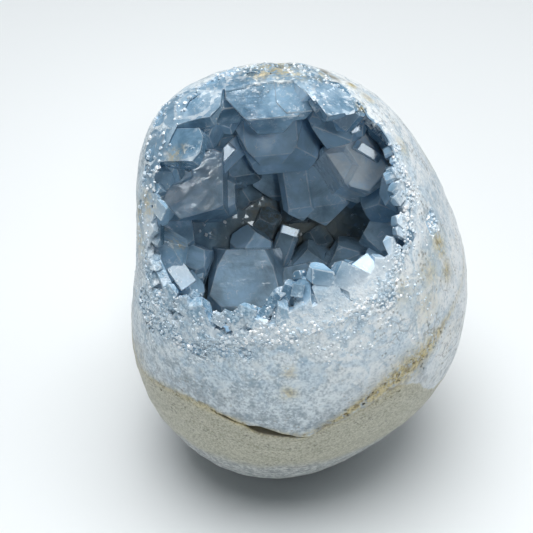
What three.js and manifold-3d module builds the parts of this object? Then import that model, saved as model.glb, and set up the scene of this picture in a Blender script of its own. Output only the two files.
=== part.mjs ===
// Celestite geode: an egg-shaped stone, ground and polished outside, with an open pocket of blue crystals.
// Millimetres, +Z up. The origin is the middle of the flat spot that the stone stands on.
// A direction is [turn, lift] in degrees: turn 0 is the front (-Y), 90 the right (+X); lift is above level.
import * as THREE from 'three';
import { ConvexGeometry } from 'three/addons/geometries/ConvexGeometry.js';
import { mergeVertices } from 'three/addons/utils/BufferGeometryUtils.js';
import Module from 'manifold-3d';

const wasm = await Module();
wasm.setup();

// ---- Driving dimensions ----

// The stone and the pocket are each an ellipsoid with a few broad rises (or hollows, where rise is negative).
const STONE = {
  centre: [0, 0, 57],
  semi: [46.5, 46, 61],
  detail: 9,
  rises: [
    { toward: [-80, 54], spread: 22, rise: 6.5 },
    { toward: [-104, 22], spread: 24, rise: -7 },
    { toward: [-92, -2], spread: 30, rise: -4 },
    { toward: [85, 42], spread: 36, rise: -6.5 },
    { toward: [-66, -24], spread: 34, rise: 3 },
    { toward: [-25, -52], spread: 30, rise: 3 },
    { toward: [35, -54], spread: 26, rise: -2.5 },
    { toward: [170, 55], spread: 35, rise: -4.5 },
  ],
};

const POCKET = {
  centre: [-3.5, -12.5, 65.5],
  semi: [31, 32, 32],
  detail: 6,
  rises: [
    { toward: [-60, 10], spread: 40, rise: 5 },
    { toward: [-88, 12], spread: 24, rise: -3 },
    { toward: [60, 0], spread: 40, rise: 3 },
    { toward: [105, 35], spread: 40, rise: 1.5 },
    { toward: [-120, 40], spread: 40, rise: 9 },
    { toward: [0, -50], spread: 42, rise: -15 },
    { toward: [0, 80], spread: 40, rise: 23 },
    { toward: [180, 20], spread: 40, rise: 10.5 },
  ],
};

const GAP = 0.3; // between the stone and the crust grown on it
const CRUST = { thickness: 3, detail: 3 }; // the layer that the crystals grow from

// Celestite's faces, as unit normals on a crystal's growth, width and depth axes.
const ROOF = [0.788, 0.615]; // on growth and width: the two faces that meet in the ridge
const SLOPE = [0.635, 0.773]; // on growth and depth: the faces at the ridge's ends
const SHOULDER = [0.38, 0.925]; // on growth and depth: the steep faces under the slopes
const BEVEL = [0.789, 0.615]; // on width and depth: the long edges of the block
const SHOULDER_TRIM = 0.06; // share of the depth
const BEVEL_TRIM = 0.16; // share of the smaller of width and depth

// The main crystals. head is the middle of the ridge, growth the way that the crystal points,
// twist its turn about that axis, and size its width, depth and length.
const MAIN_CRYSTALS = [
  // hanging from the top of the pocket
  { head: [-4, 9.5, 81.5], growth: [10, -60], twist: 91, size: [17, 22, 46], ridge: 13, bevel: 0.3 },
  { head: [-8.5, -2.5, 106], growth: [6, -37], twist: 4, size: [15, 10, 12], ridge: 8 },
  { head: [-16.5, -7.5, 104], growth: [12, -36], twist: 7, size: [12, 10, 14], ridge: 6 },
  { head: [-19.5, 14.5, 83], growth: [21, -62], twist: -11, size: [10, 12, 16], ridge: 6 },
  { head: [-5.5, 25, 63], growth: [0, -77], twist: -4, size: [14, 10, 16], ridge: 6, plain: true },
  { head: [3, -7.5, 114.5], growth: [6, 5], twist: 97, size: [9, 9, 12], ridge: 4, plain: true },
  { head: [4, -13.5, 108], growth: [-28, -43], twist: -20, size: [12, 10, 14], ridge: 5 },
  { head: [7, 5, 92], growth: [-46, -63], twist: -33, size: [14, 10, 14], ridge: 5 },
  // on the left wall
  { head: [-21.5, -6.5, 100.5], growth: [29, -32], twist: 22, size: [18, 14, 18], ridge: 9 },
  { head: [-25, 1.5, 94.5], growth: [36, 11], twist: 130, size: [13, 15, 18], ridge: 8 },
  { head: [-19.5, 3, 84], growth: [52, 23], twist: 155, size: [25, 21, 26], ridge: 13 },
  { head: [-23, 9, 82], growth: [-51, -27], twist: 36, size: [6, 5, 12], ridge: 3, plain: true },
  { head: [-14.5, 13.5, 78], growth: [6, 5], twist: 97, size: [11, 10, 16], ridge: 6 },
  { head: [-27.5, 1, 70], growth: [64, 28], twist: 148, size: [14, 11, 14], ridge: 6 },
  // on the back and right walls
  { head: [8, 13.5, 62.5], growth: [20, -62], twist: 24, size: [19, 15, 17], ridge: 9 },
  { head: [4, 24, 68.5], growth: [-39, -76], twist: -29, size: [14, 12, 14], ridge: 6 },
  { head: [18.5, 0.5, 94], growth: [11, 44], twist: -154, size: [17, 16, 22], ridge: 10 },
  { head: [21, 0.5, 79], growth: [-64, -4], twist: -52, size: [11, 9, 12], ridge: 5 },
  { head: [18, 0.5, 72], growth: [-75, 42], twist: 25, size: [14, 11, 14], ridge: 6 },
  // standing on the floor
  { head: [-14, 1, 63], growth: [0, 86], twist: -90, size: [24, 20, 26], ridge: 10, bevel: 0.12 },
  { head: [-12.5, 13.5, 61], growth: [179, 82], twist: 7, size: [11, 10, 14], ridge: 5 },
  { head: [-1.5, 16.5, 59], growth: [146, 52], twist: 17, size: [6, 5, 12], ridge: 3 },
  { head: [3, 12, 56.5], growth: [-137, 77], twist: -48, size: [14, 10, 12], ridge: 6 },
  { head: [11, 9, 60], growth: [-114, 59], twist: -66, size: [13, 10, 14], ridge: 6 },
  { head: [-0.5, 4.5, 55], growth: [-61, 78], twist: -23, size: [13, 11, 16], ridge: 6 },
  { head: [10.5, 1, 55], growth: [63, 78], twist: 176, size: [12, 10, 16], ridge: 5 },
  { head: [14.5, -3.5, 62], growth: [-96, 55], twist: 42, size: [11, 10, 14], ridge: 6 },
  { head: [19, 1.5, 63], growth: [-148, 27], twist: -27, size: [11, 10, 14], ridge: 6 },
  // at the front left rim
  { head: [-26.5, -1, 65.5], growth: [60, 74], twist: -151, size: [9, 9, 14], ridge: 4 },
  { head: [-28, -11.5, 65.5], growth: [133, 64], twist: 21, size: [10, 9, 16], ridge: 4 },
  { head: [-34, -13.5, 68.5], growth: [109, 50], twist: 45, size: [11, 9, 12], ridge: 5 },
  { head: [-34, -26, 72], growth: [73, 67], twist: 176, size: [9, 9, 12], ridge: 5 },
  { head: [-27, -19, 52], growth: [136, 62], twist: 24, size: [6, 6, 10], ridge: 3 },
];

// The smaller crystals between them, plain blocks spread evenly over the pocket's wall.
const SMALL = {
  places: 110,
  seed: 11,
  width: [7, 11.5],
  stand: [6, 11], // how far a head stands off the wall
  lean: 0.45, // how far growth leans away from square to the wall
  root: -1.8, // how far a foot reaches past the pocket's wall; negative stops inside the crust
  clear: 4, // a head this near to a main crystal is left out
};
// They stand low in the deep recess at the back, and are small at the front lip of the floor.
const RECESS = { toward: [-168, -12], spread: 30, stand: 0.5 };
const LIP = { below: 62, height: 14, before: -2, reach: 10, width: 0.65, stand: 0.85 };

// ---- Directions and smooth forms ----

function direction([turn, lift]) {
  const t = THREE.MathUtils.degToRad(turn);
  const l = THREE.MathUtils.degToRad(lift);
  return new THREE.Vector3(Math.sin(t) * Math.cos(l), -Math.cos(t) * Math.cos(l), Math.sin(l));
}

// How far a form reaches from its centre in direction d.
function reach(form, d) {
  let r = 1 / Math.hypot(d.x / form.semi[0], d.y / form.semi[1], d.z / form.semi[2]);
  for (const { toward, spread, rise } of form.rises) {
    const angle = THREE.MathUtils.radToDeg(d.angleTo(direction(toward)));
    r += rise * Math.exp(-((angle / spread) ** 2));
  }
  return r;
}

// How deep point p lies inside a form; negative outside.
function depthIn(form, p) {
  const d = p.clone().sub(new THREE.Vector3(...form.centre));
  const distance = d.length();
  return reach(form, d.divideScalar(distance)) - distance;
}

function inwardNormal(form, p) {
  const step = 1;
  const slope = (axis) => {
    const ahead = depthIn(form, p.clone().addScaledVector(axis, step));
    const behind = depthIn(form, p.clone().addScaledVector(axis, -step));
    return ahead - behind;
  };
  const x = slope(new THREE.Vector3(1, 0, 0));
  const y = slope(new THREE.Vector3(0, 1, 0));
  const z = slope(new THREE.Vector3(0, 0, 1));
  return new THREE.Vector3(x, y, z).normalize();
}

// ---- Solids ----

function solid(geometry) {
  const bare = geometry.clone();
  bare.deleteAttribute('normal');
  bare.deleteAttribute('uv');
  const merged = mergeVertices(bare, 1e-4);
  const vertProperties = new Float32Array(merged.attributes.position.array);
  const triVerts = new Uint32Array(merged.index.array);
  return new wasm.Manifold(new wasm.Mesh({ numProp: 3, vertProperties, triVerts }));
}

function roundSolid(form, shrink = 0) {
  const geometry = new THREE.IcosahedronGeometry(1, form.detail);
  const centre = new THREE.Vector3(...form.centre);
  const position = geometry.attributes.position;
  const p = new THREE.Vector3();
  for (let i = 0; i < position.count; i++) {
    p.fromBufferAttribute(position, i).normalize();
    p.multiplyScalar(reach(form, p) - shrink).add(centre);
    position.setXYZ(i, p.x, p.y, p.z);
  }
  return solid(geometry);
}

// ---- Crystals ----

// A crystal's growth, width and depth axes.
function crystalAxes({ growth, twist }) {
  const a = direction(growth);
  const level = direction([growth[0] + 90, 0]);
  const steep = a.clone().cross(level);
  const t = THREE.MathUtils.degToRad(twist);
  const b = level.multiplyScalar(Math.cos(t)).addScaledVector(steep, Math.sin(t));
  return [a, b, a.clone().cross(b)];
}

// A crystal's faces as planes: outward normal n and its offset d from the origin.
function crystalPlanes(crystal) {
  const [width, depth, length] = crystal.size;
  const { ridge, bevel = BEVEL_TRIM, plain = false } = crystal;
  const slopeFoot = (-SLOPE[1] / SLOPE[0]) * (depth - ridge) / 2;
  const shoulder = SHOULDER[0] * slopeFoot + SHOULDER[1] * depth / 2 - SHOULDER_TRIM * depth;
  const edge = (BEVEL[0] * width + BEVEL[1] * depth) / 2 - bevel * Math.min(width, depth);
  const faces = [[-1, 0, 0, length]];
  for (const side of [1, -1]) {
    faces.push([ROOF[0], side * ROOF[1], 0, 0]);
    faces.push([SLOPE[0], 0, side * SLOPE[1], SLOPE[1] * ridge / 2]);
    faces.push([0, 0, side, depth / 2]);
    faces.push([0, side, 0, width / 2]);
    if (plain) continue;
    faces.push([SHOULDER[0], 0, side * SHOULDER[1], shoulder]);
    faces.push([0, side * BEVEL[0], BEVEL[1], edge]);
    faces.push([0, side * BEVEL[0], -BEVEL[1], edge]);
  }
  const [a, b, c] = crystalAxes(crystal);
  const head = new THREE.Vector3(...crystal.head);
  return faces.map(([onA, onB, onC, d]) => {
    const n = a.clone().multiplyScalar(onA).addScaledVector(b, onB).addScaledVector(c, onC);
    return { n, d: d + n.dot(head) };
  });
}

// How far outside a crystal a point is; negative inside.
function distanceOut(planes, p) {
  return Math.max(...planes.map(({ n, d }) => n.dot(p) - d));
}

// The crystal is what lies behind all its planes; its corners are where three of them meet.
function crystalSolid(crystal) {
  const planes = crystalPlanes(crystal);
  const corners = [];
  for (let i = 0; i < planes.length; i++) {
    for (let j = i + 1; j < planes.length; j++) {
      for (let k = j + 1; k < planes.length; k++) {
        const [A, B, C] = [planes[i], planes[j], planes[k]];
        const BxC = B.n.clone().cross(C.n);
        const volume = A.n.dot(BxC);
        if (Math.abs(volume) < 1e-3) continue;
        const p = BxC.multiplyScalar(A.d);
        p.addScaledVector(C.n.clone().cross(A.n), B.d);
        p.addScaledVector(A.n.clone().cross(B.n), C.d);
        p.divideScalar(volume);
        const isNew = corners.every((q) => q.distanceTo(p) > 0.01);
        if (isNew && distanceOut(planes, p) < 1e-4) corners.push(p);
      }
    }
  }
  return solid(new ConvexGeometry(corners));
}

// A small seeded random number generator, from 0 to 1.
function randomFrom(seed) {
  let state = seed;
  return () => {
    state = (state * 1664525 + 1013904223) % 4294967296;
    return state / 4294967296;
  };
}

const between = ([low, high], t) => low + (high - low) * t;

function smallCrystals() {
  const random = randomFrom(SMALL.seed);
  const mainPlanes = MAIN_CRYSTALS.map(crystalPlanes);
  const centre = new THREE.Vector3(...POCKET.centre);
  const recess = direction(RECESS.toward);
  const crystals = [];
  for (let i = 0; i < SMALL.places; i++) {
    const up = 1 - 2 * (i + 0.5) / SMALL.places;
    const around = Math.PI * (3 - Math.sqrt(5)) * i;
    const level = Math.sqrt(1 - up * up);
    const d = new THREE.Vector3(level * Math.cos(around), level * Math.sin(around), up);
    const r = Array.from({ length: 8 }, random);
    const foot = d.clone().multiplyScalar(reach(POCKET, d)).add(centre);
    if (depthIn(STONE, foot) < 0.5) continue;
    const normal = inwardNormal(POCKET, foot);
    const lean = new THREE.Vector3(r[0] - 0.5, r[1] - 0.5, r[2] - 0.5).multiplyScalar(2 * SMALL.lean);
    const growth = normal.clone().add(lean).normalize();
    const low = THREE.MathUtils.clamp((LIP.below - foot.z) / LIP.height, 0, 1);
    const front = THREE.MathUtils.clamp((LIP.before - foot.y) / LIP.reach, 0, 1);
    const lip = low * front;
    const width = between(SMALL.width, r[3]) * between([1, LIP.width], lip);
    let stand = between(SMALL.stand, r[4]) * between([1, LIP.stand], lip);
    if (THREE.MathUtils.radToDeg(d.angleTo(recess)) < RECESS.spread) stand *= RECESS.stand;
    const head = foot.clone().addScaledVector(normal, stand);
    if (mainPlanes.some((planes) => distanceOut(planes, head) < SMALL.clear)) continue;
    const turn = THREE.MathUtils.radToDeg(Math.atan2(growth.x, -growth.y));
    const lift = THREE.MathUtils.radToDeg(Math.asin(growth.z));
    const size = [width, width * between([0.7, 1.1], r[6]), stand + SMALL.root];
    const ridge = width * between([0.3, 0.55], r[7]);
    const twist = 180 * r[5];
    crystals.push({ head: head.toArray(), growth: [turn, lift], twist, size, ridge, plain: true });
  }
  return crystals;
}

// ---- The two pieces ----

function polishedStone() {
  const ground = new THREE.BoxGeometry(200, 200, 100).translate(0, 0, -50);
  return roundSolid(STONE).subtract(solid(ground));
}

// The largest body of a solid, without chips and closed bubbles.
function mainBody(manifold) {
  const bodies = manifold.decompose();
  bodies.sort((a, b) => b.volume() - a.volume());
  return bodies[0];
}

function crystalCrust(stone) {
  const outside = roundSolid(POCKET, GAP);
  const crystals = [...MAIN_CRYSTALS, ...smallCrystals()].map(crystalSolid);
  const layer = outside.subtract(roundSolid({ ...POCKET, detail: CRUST.detail }, GAP + CRUST.thickness));
  const grown = crystals.reduce((whole, crystal) => whole.add(crystal), layer);
  return mainBody(grown.intersect(outside).intersect(stone));
}

function mesh(manifold, name, material) {
  const { vertProperties, triVerts } = manifold.getMesh();
  const indexed = new THREE.BufferGeometry();
  indexed.setAttribute('position', new THREE.BufferAttribute(vertProperties, 3));
  indexed.setIndex(new THREE.BufferAttribute(triVerts, 1));
  const geometry = indexed.toNonIndexed();
  geometry.computeVertexNormals();
  const piece = new THREE.Mesh(geometry, new THREE.MeshStandardMaterial(material));
  piece.name = name;
  return piece;
}

const stone = polishedStone();
const geode = new THREE.Group();
geode.add(mesh(stone.subtract(roundSolid(POCKET)), 'geode_shell', { color: 0xb4bcc0, roughness: 0.45 }));
geode.add(mesh(crystalCrust(stone), 'crystal_crust', { color: 0x7d97ad, roughness: 0.15 }));

export default geode;
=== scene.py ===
"""Looks of a celestite geode: a polished stone egg with an open pocket of pale blue crystals.

Lengths are in millimetres until a mesh is made. A direction is (turn, lift) in degrees:
turn 0 is the front (-Y), 90 the right (+X), and lift is above level.
"""

import itertools
import math

import bmesh
import bpy
import numpy as np
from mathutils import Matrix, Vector, noise


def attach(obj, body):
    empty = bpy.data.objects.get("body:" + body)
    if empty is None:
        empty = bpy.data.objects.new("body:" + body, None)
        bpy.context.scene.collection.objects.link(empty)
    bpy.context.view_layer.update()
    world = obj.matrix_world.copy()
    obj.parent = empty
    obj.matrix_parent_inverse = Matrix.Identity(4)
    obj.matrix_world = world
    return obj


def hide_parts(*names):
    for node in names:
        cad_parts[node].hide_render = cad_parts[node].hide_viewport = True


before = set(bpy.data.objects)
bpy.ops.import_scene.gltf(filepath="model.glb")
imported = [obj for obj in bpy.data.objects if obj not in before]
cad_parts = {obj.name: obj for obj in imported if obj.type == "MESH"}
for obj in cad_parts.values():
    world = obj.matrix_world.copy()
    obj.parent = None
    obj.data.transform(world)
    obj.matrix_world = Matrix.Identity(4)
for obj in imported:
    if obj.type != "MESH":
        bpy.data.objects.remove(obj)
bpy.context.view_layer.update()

# ---- Forms shared with the part ----

MM = 0.001
SAME = 0.01  # points nearer than this are one

STONE = {
    "centre": (0, 0, 57),
    "semi": (46.5, 46, 61),
    "rises": [
        ((-80, 54), 22, 6.5),
        ((-104, 22), 24, -7),
        ((-92, -2), 30, -4),
        ((85, 42), 36, -6.5),
        ((-66, -24), 34, 3),
        ((-25, -52), 30, 3),
        ((35, -54), 26, -2.5),
        ((170, 55), 35, -4.5),
    ],
}

POCKET = {
    "centre": (-3.5, -12.5, 65.5),
    "semi": (31, 32, 32),
    "rises": [
        ((-60, 10), 40, 5),
        ((-88, 12), 24, -3),
        ((60, 0), 40, 3),
        ((105, 35), 40, 1.5),
        ((-120, 40), 40, 9),
        ((0, -50), 42, -15),
        ((0, 80), 40, 23),
        ((180, 20), 40, 10.5),
    ],
}

WALL_LUMPS = [(9, 1.6), (3, 0.7)]  # how wide and how high the lumps of the pocket's wall are
BED = 0.3  # thickness of the layer that the crystals grow from, and its own lumps
BED_LUMPS = [(2.2, 0.4)]
EXTRA_SHIFT = 50  # how far a pocket's extra lumps are shifted, so that they don't repeat the wall's
SINK = 0.25  # how far the crust reaches into the stone, so that no air shows between them
FLUSH = 0.03  # how far the cut crystals lie under the stone's own polish

# Celestite's faces: unit normals on a crystal's growth, width and depth axes.
ROOF = (0.788, 0.615)
SLOPE = (0.635, 0.773)
SHOULDER = (0.38, 0.925)
BEVEL = (0.789, 0.615)
SHOULDER_TRIM = 0.06
BEVEL_TRIM = 0.16


def crystal(
    head, growth, twist, size, ridge, tone=0.5, bevel=BEVEL_TRIM, plain=False, alone=False,
    cleave=0, look=None,
):
    """A crystal by the middle of its ridge, the way it points, its turn about that, and width, depth, length.

    Its tone goes from 0, dark and clear, to 1, white. A plain one has no shoulders and no bevels. One that
    stands alone has no smaller crystals grown against it. A cleaved one has lost that much of its corner
    on the side of its look.
    """
    return dict(
        head=head, growth=growth, twist=twist, size=size, ridge=ridge, tone=tone, bevel=bevel, plain=plain,
        alone=alone, cleave=cleave, look=look,
    )


MAIN_CRYSTALS = [
    # Tones are partly each crystal's own milkiness and partly painted light: some crystals that lie in shade
    # were given paler tones.
    # hanging from the top of the pocket
    crystal((-4, 9.5, 81.5), (10, -60), 91, (17, 22, 46), 13, 0.72, bevel=0.3),
    crystal((-7.3, -6.3, 102.8), (10, -60), 91, (10, 21, 14), 6, 0.32, plain=True),
    crystal((-17.5, -5.5, 105), (14, -56), 80, (9, 9, 14), 5, 0.25),
    crystal((-19.5, 14.5, 83), (21, -62), -11, (10, 12, 16), 6, 0.3),
    crystal((-5.5, 25, 63), (0, -77), -4, (14, 10, 16), 6, 0.5, plain=True),
    crystal((3, -7.5, 114.5), (6, 5), 97, (9, 9, 12), 4, 0.9, plain=True),
    crystal((5.5, -11.5, 110), (-28, -43), -20, (12, 10, 14), 5, 0.6),
    crystal((7, 5, 92), (-46, -63), -33, (14, 10, 14), 5, 0.6),
    # on the left wall
    crystal((-21.5, -6.5, 100.5), (29, -32), 22, (18, 14, 18), 9, 0.45),
    crystal((-25, 1.5, 94.5), (36, 11), 130, (13, 15, 18), 8, 0.2),
    crystal((-19.5, 3, 84), (52, 23), 155, (25, 21, 26), 13, 0.6),
    crystal((-23, 9, 82), (-51, -27), 36, (6, 5, 12), 3, 0.8, plain=True),
    crystal((-14.5, 13.5, 78), (6, 5), 97, (11, 10, 16), 6, 0.4),
    crystal((-27.5, 1, 70), (64, 28), 148, (14, 11, 14), 6, 0.45),
    # on the back and right walls
    crystal((8, 13.5, 62.5), (20, -62), 24, (19, 15, 17), 9, 0.6),
    crystal((4, 24, 68.5), (-39, -76), -29, (14, 12, 14), 6, 0.5),
    # under the right rim, in shade: its tone above 1 paints it white, a painted light
    crystal((18.5, 0.5, 94), (11, 44), -154, (17, 16, 22), 10, 1.22),
    crystal((18, -1.5, 78.5), (-38, 10), -52, (12, 10, 16), 5, 0.6),
    crystal((18, 0.5, 72), (-75, 42), 25, (14, 11, 14), 6, 0.55),
    # in the recess
    crystal((-14, 21.5, 66), (5, 20), 30, (9, 8, 12), 4, 0.25),
    crystal((-8.5, 18.5, 59.5), (-10, 35), 70, (8, 7, 10), 4, 0.3),
    crystal((-1.5, 18.5, 63), (-20, 25), 15, (9, 8, 12), 4, 0.25),
    crystal((4.5, 15.5, 56), (-30, 40), 50, (8, 7, 10), 4, 0.3),
    crystal((-18.5, 15, 70), (25, 10), 110, (8, 7, 10), 4, 0.25),
    # standing on the floor
    crystal((-14, 1, 63), (0, 86), -90, (24, 20, 26), 10, 0.55, bevel=0.12, alone=True),
    # its tone is raised as painted light on faces that turn away from the lamps
    crystal((-12.5, 13.5, 61), (179, 82), 27, (11, 10, 14), 5, 0.95),
    crystal((-1.5, 16.5, 59), (146, 52), 17, (6, 5, 12), 3, 0.5),
    crystal((3, 12, 56.5), (-137, 77), -48, (14, 10, 12), 6, 0.5),
    crystal((11, 9, 60), (-114, 59), -66, (13, 10, 14), 6, 0.45),
    crystal((-0.5, 4.5, 55), (-61, 78), -23, (13, 11, 16), 6, 0.55),
    crystal((10.5, 1, 55), (63, 78), 176, (12, 10, 16), 5, 0.6),
    crystal((14.5, -3.5, 62), (-96, 55), 42, (11, 10, 14), 6, 1.1),
    crystal((19, 1.5, 63), (-148, 27), -27, (11, 10, 14), 6, 0.9),
    # at the front left rim
    crystal((-26.5, -1, 65.5), (60, 74), -166, (9, 9, 14), 4, 0.5),
    crystal((-28, -11.5, 65.5), (133, 64), 21, (10, 9, 16), 4, 0.7),
    crystal((-34, -13.5, 68.5), (109, 50), 45, (11, 9, 12), 5, 0.8),
    crystal((-34, -26, 72), (73, 67), 176, (9, 9, 12), 5, 0.85),
    crystal((-27, -19, 52), (136, 62), 24, (6, 6, 10), 3, 0.75),
]

# Small blocks with a cleaved face on top. A tone above 1 makes that face white, a painted highlight added to
# the glint lamp's real one.
CLEAVED = [
    # middle of the face, the way it looks, width and depth, twist, tone
    ((-19.2, 9, 87.5), (8, 37), (6.5, 2.8), 42, 0.8),
    ((16.5, -0.6, 94.6), (1, 37), (7.5, 2.4), -32, 0.8),
    ((13.2, 0.4, 100.4), (2, 36), (2.6, 2.2), 20, 0.8),
    ((-29, -22, 72.7), (11, 42), (4.6, 6.6), 28, 0.1),
    ((-35, -26.4, 74.4), (12, 42), (2.8, 2.2), 25, 1.5),
    ((-2, 12.5, 60.6), (5, 40), (5.2, 2.3), -20, 0.8),
    ((-26.4, -36.4, 65.8), (11, 44), (3.3, 3.2), 5, 1.5),
    ((-17.2, 20, 61.5), (7, 39), (1.2, 3.2), 0, 1.3),
    ((13.1, -36.4, 85.4), (2, 42), (7, 5), 35, 0.9),
]

# Crystals that the polish has cut through: the (turn, lift) where they meet it, twist, width and depth, tone.
CUT = [
    # the left shoulder
    ((-74, 64), 120, (15, 11.5), 0.36),
    ((-83, 57), 42, (9, 7), 0.45),
    ((-61, 56), 156, (13.5, 8), 0.06),
    ((-72, 51), 70, (8, 5.5), 0.4),
    ((-82, 70), 48, (9, 7.5), 0.4),
    ((-99, 73), 46, (7, 6), 0.5),
    # the worn top
    ((-92, 79), 120, (11, 7), 0.1),
    ((-125, 84), 10, (14, 6), 0.2),
    ((165, 85), 25, (12, 6), 0.2),
    # the right shoulder
    ((61, 82), 74, (10.5, 9), 0.22),
    ((62, 75), 104, (6, 5), 0.24),
    ((112, 86), 96, (7, 5), 0.4),
    ((50, 62), 28, (3.5, 3), 0.5),
    ((53, 56), 36, (3.5, 3), 0.5),
    ((63, 61), 40, (3, 2.6), 0.5),
    ((61, 38), 2, (7, 6), 0.65),
    # the left side
    ((-66, 36), 90, (7, 5), 0.4),
    ((-68, 45), 74, (6, 4.5), 0.5),
    ((-57, 12), 90, (8, 6), 0.75),
    ((-52, 8), 112, (7, 5), 0.7),
    # the lip
    ((-46, 9), 30, (6, 5), 0.65),
    ((-38, 9), 75, (5.5, 5), 0.7),
    ((-32, 8), 10, (5, 4.5), 0.65),
    ((-24, 11), 50, (4.5, 4), 0.7),
    ((-17, 12), 20, (4, 3.6), 0.75),
]
CUT_ROOM = 8  # how far the cut crystals reach in from the polish
CUT_UNDER = (0.25, 0.9)  # how far under the polish the middle of a cut face lies
CUT_LEAN = 0.1
RECESS_OUT = 3  # how far the recess that a cut crystal stands in reaches out of the polish

# The rough top that the polish hasn't reached, its lumps given as for the wall.
WORN = {"toward": (-70, 84), "spread": 17, "depth": 0.35, "lumps": [(3.5, 0.7), (1.2, 0.35)]}

# The smaller crystals between the main ones.
SMALL = {
    "places": 110,
    "seed": 11,
    "width": (7, 11.5),
    "depth": (0.7, 1.1),  # and the ridge, as shares of the width
    "ridge": (0.3, 0.55),
    "tone": (0.3, 0.7),
    "stand": (6, 11),  # how far their heads are from the wall
    "lean": 0.45,
    "root": -1.8,  # how much longer they are than that
    "clear": 4,  # how far they keep from the main ones
    "cover": 0.5,  # the least stone behind them
    "bare": (26, 34, 42, 47),  # the places that have none
}

# The crystals grown against the main ones, their sizes as shares of those of the main ones.
SIDE_GROWTH = {
    "seed": 29,
    "width": (0.35, 0.6),
    "depth": (0.5, 0.8),
    "proud": (0.02, 0.07),
    "lower": (1.5, 5),
    "tone": (-0.12, 0.12),
}
RECESS = {"toward": (-168, -12), "spread": 30, "stand": 0.5}

# The front of the pocket's rim is below one height and before one depth, each with how far it takes to fade.
LIP = {"below": (62, 14), "before": (-2, 10), "width": 0.65, "stand": 0.85, "tone": 0.2}
SUGAR_LIP = {"below": (84, 16), "before": (-4, 10)}

# The small crystals that fill the pocket's rim: about how far apart they are, how far in they fill its front
# at each x, and its sides.
LIP_GROWTH = {
    "seed": 7,
    "apart": 2.6,
    "front": ((-26, 4), (-22, 3), (-7, 3), (-2, 8), (6, 9), (12, 5), (17, 3.5), (22, 0)),
    "below": (94, 8),
    "before": (-24, 8),
    "side": 1.8,
    "left": (-24, 98),  # the left side: x below the first and z below the second
    "right": (18, 90, 103),  # the right side: x above the first, z between the others
    "rim": 0.3,  # how far in they start
    "sparse": (6, 0.4),  # further in than this, that share is left out
    "clear": 0.6,  # how near to the cleaved faces, as a share of their size
    "width": (2, 4.6),
    "depth": (0.7, 1.1),
    "ridge": (0.3, 0.6),
    "tone": (0.2, 0.65),
    "room": 0.4,  # the least depth of pocket that they stand in
    "under": 1.0,  # how far the outermost lie under the polish
    "slope": (0.2, 0.6),  # how much deeper they lie for each millimetre further in
    "lean": 0.5,
    "out": 0.7,  # how much they point out of the stone
}
STONE_SKIN = 34000  # about the area of the stone's surface, in square millimetres
GLINT_WAY = (0, 36)  # the way before the cleaved faces that is kept clear

FINENESS = 1.8  # the longest edge of the crust's triangles
SMOOTHNESS = 7  # how often the egg's ball is subdivided
MAIN_EDGE = 0.22  # worn flat on the main crystals' edges
SMALL_EDGE = 0.14
BATCH_GAP = 0.1  # half of how far apart the crystals in one mesh are
BED_TONE = 0.3  # the tone of the layer that the crystals grow from
FACE_REACH = 0.2  # how far under a crystal's faces its worn edges may lie
ON_FACE = 0.02  # how near to one of its faces a point lies on it
FACET_SEED = 5
STONE_CREASE, CRYSTAL_CREASE = 35, 9  # the angles from which an edge is sharp

# The seam between the crystal-rich stone round the pocket and the tan rock under it: (turn, lift).
SEAM = [
    (-180, 34),
    (-145, 24),
    (-110, 12),
    (-85, -6),
    (-60, -16),
    (-32, -11),
    (-27, -13.6),
    (-16, -17.2),
    (-10, -18.8),
    (0, -21),
    (12, -15),
    (18, -10.5),
    (25, -8),
    (31, -6),
    (37, -8.5),
    (44, -15),
    (52, -23),
    (75, -25),
    (100, -12),
    (130, 10),
    (160, 28),
    (180, 34),
]

# The ochre vein: turn, lift of its middle, half its width in millimetres, share.
VEIN = [
    (-180, 34, 1.5, 0.4),
    (-145, 24, 2, 0.7),
    (-110, 12, 1.5, 0.4),
    (-60, -15.5, 1.5, 0.5),
    (-40, -12, 1.2, 0.4),
    (-27, -13.6, 1.1, 0.7),
    (-12, -18.4, 1.5, 0.9),
    (0, -20.6, 1.2, 0.6),
    (8, -16, 1.3, 0.7),
    (14, -11.5, 2, 1),
    (22, -6.5, 3, 1),
    (30, -2, 4.4, 1),
    (37, 0.5, 4.6, 0.95),
    (44, 3.5, 3, 0.85),
    (50, 6, 1.4, 0.8),
    (62, 9, 1.2, 0.3),
    (100, 14, 1.5, 0.3),
    (150, 26, 2, 0.8),
    (180, 34, 1.5, 0.4),
]
OCHRE_SPOTS = [
    # (turn, lift), width in millimetres, share
    ((-4, 7), 1.6, 0.6),
    ((-4, -1), 2, 0.7),
    ((60, 31), 3.5, 0.9),
    ((59, 22), 3, 0.7),
    ((48, 27), 4, 0.5),
    ((44, 18), 5, 0.35),
    ((34, 26), 4, 0.3),
    ((70, 60), 2.5, 0.5),
    ((90, 73), 2, 0.6),
    ((-120, 83), 6, 1),
    ((120, 84), 3, 0.6),
    ((-66, 28), 4, 0.5),
    ((-60, -12), 4, 0.4),
    ((-140, 60), 6, 0.5),
    ((160, 10), 7, 0.5),
    ((110, 40), 5, 0.4),
    ((-110, 35), 5, 0.5),
]
CRACK = [
    # (turn, lift), width, depth
    ((-27.5, -13.4), 0.1, 0.2),
    ((-24, -14.8), 1.1, 1.5),
    ((-21, -15.8), 0.8, 1.3),
    ((-18, -16.5), 0.35, 0.7),
    ((-16, -17.2), 1.2, 1.8),
    ((-13, -18), 2.3, 2.8),
    ((-10, -18.9), 2, 2.6),
    ((-6, -19.9), 1.4, 2),
    ((-2, -20.7), 0.9, 1.4),
    ((2, -21.2), 0.1, 0.2),
]
PITS = {
    "count": 190,
    "seed": 3,
    "size": (0.22, 0.65),
    "main": (10, 55),  # the turns that most of them lie between
    "main_share": 0.75,
    "rest": (-70, 10),
    "spread": 0.8,  # how far they stray from the vein's middle, as a share of its width
    "stretch": (0.6, 1.5),
}
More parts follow.
